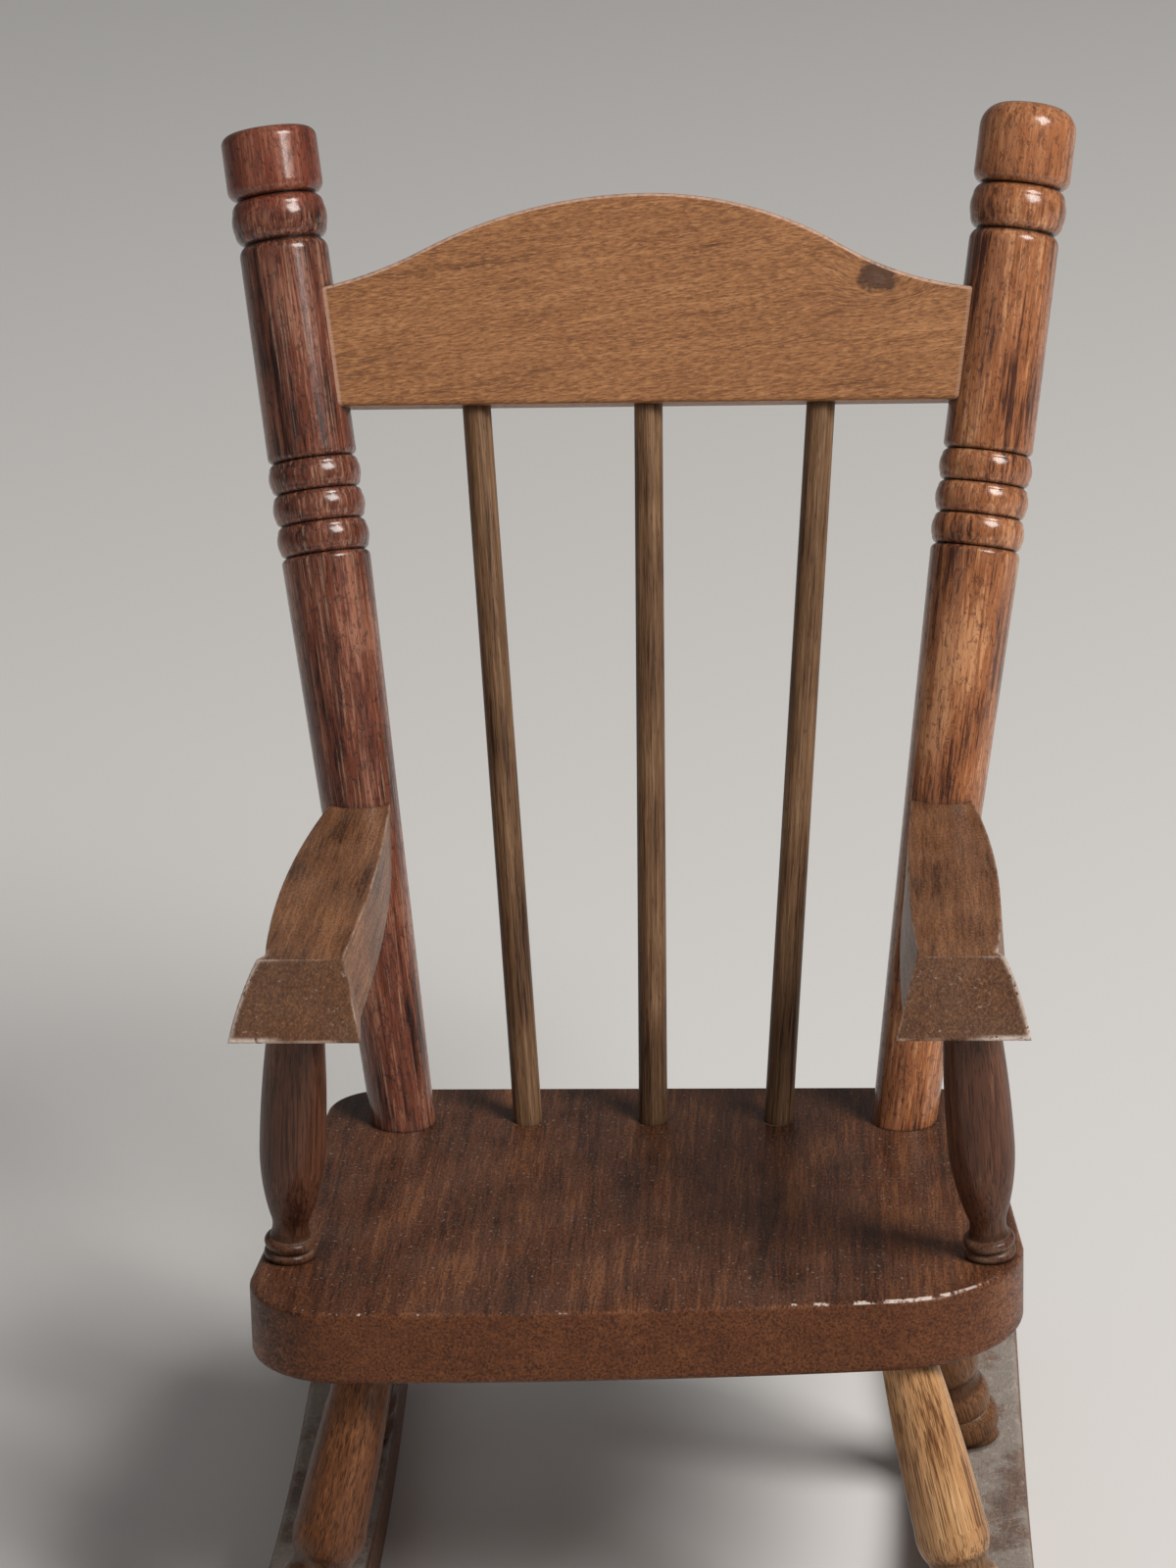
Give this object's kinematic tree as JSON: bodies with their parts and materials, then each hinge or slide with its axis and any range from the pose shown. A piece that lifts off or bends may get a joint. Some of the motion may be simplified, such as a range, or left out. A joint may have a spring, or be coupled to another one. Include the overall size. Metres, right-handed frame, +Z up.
{
  "type": "doll's rocking chair",
  "caption": "Doll's rocking chair: turned posts, crest rail and spindles over a plank seat, flat arms on turned supports, splayed turned legs on broad curved rockers.",
  "frame": {"origin": "on the floor at the middle of the outer box, with the chair at rest on its rockers", "axes": "+Z up, +Y from the front of the seat towards the back, +X to the right of someone who faces the chair"},
  "size_m": [0.1682, 0.2262, 0.2645],
  "materials": {
    "post_wood": "dark red-brown gloss varnish over turned hardwood",
    "rail_wood": "orange-brown satin stain, fine short flecks",
    "spindle_wood": "dull greyish brown dowel",
    "dowel_wood": "bare wood",
    "support_wood": "reddish brown satin stain",
    "arm_wood": "mid brown satin stain, worn edges",
    "leg_wood": "honey brown with long dark streaks, worn beads",
    "rocker_wood": "reddish brown sides, dusty worn tops",
    "seat_wood": "reddish brown satin stain, worn arrises"
  },
  "bodies": {
    "root": {"arm_dowel_left": "dowel_wood", "arm_dowel_right": "dowel_wood", "arm_left": "arm_wood", "arm_right": "arm_wood", "arm_support_left": "support_wood", "arm_support_right": "support_wood", "back_post_left": "post_wood", "back_post_right": "post_wood", "crest_rail": "rail_wood", "leg_front_left": "leg_wood", "leg_front_right": "leg_wood", "leg_rear_left": "leg_wood", "leg_rear_right": "leg_wood", "rocker_left": "rocker_wood", "rocker_right": "rocker_wood", "seat": "seat_wood", "spindle_left": "spindle_wood", "spindle_middle": "spindle_wood", "spindle_right": "spindle_wood"}
  },
  "joints": []
}
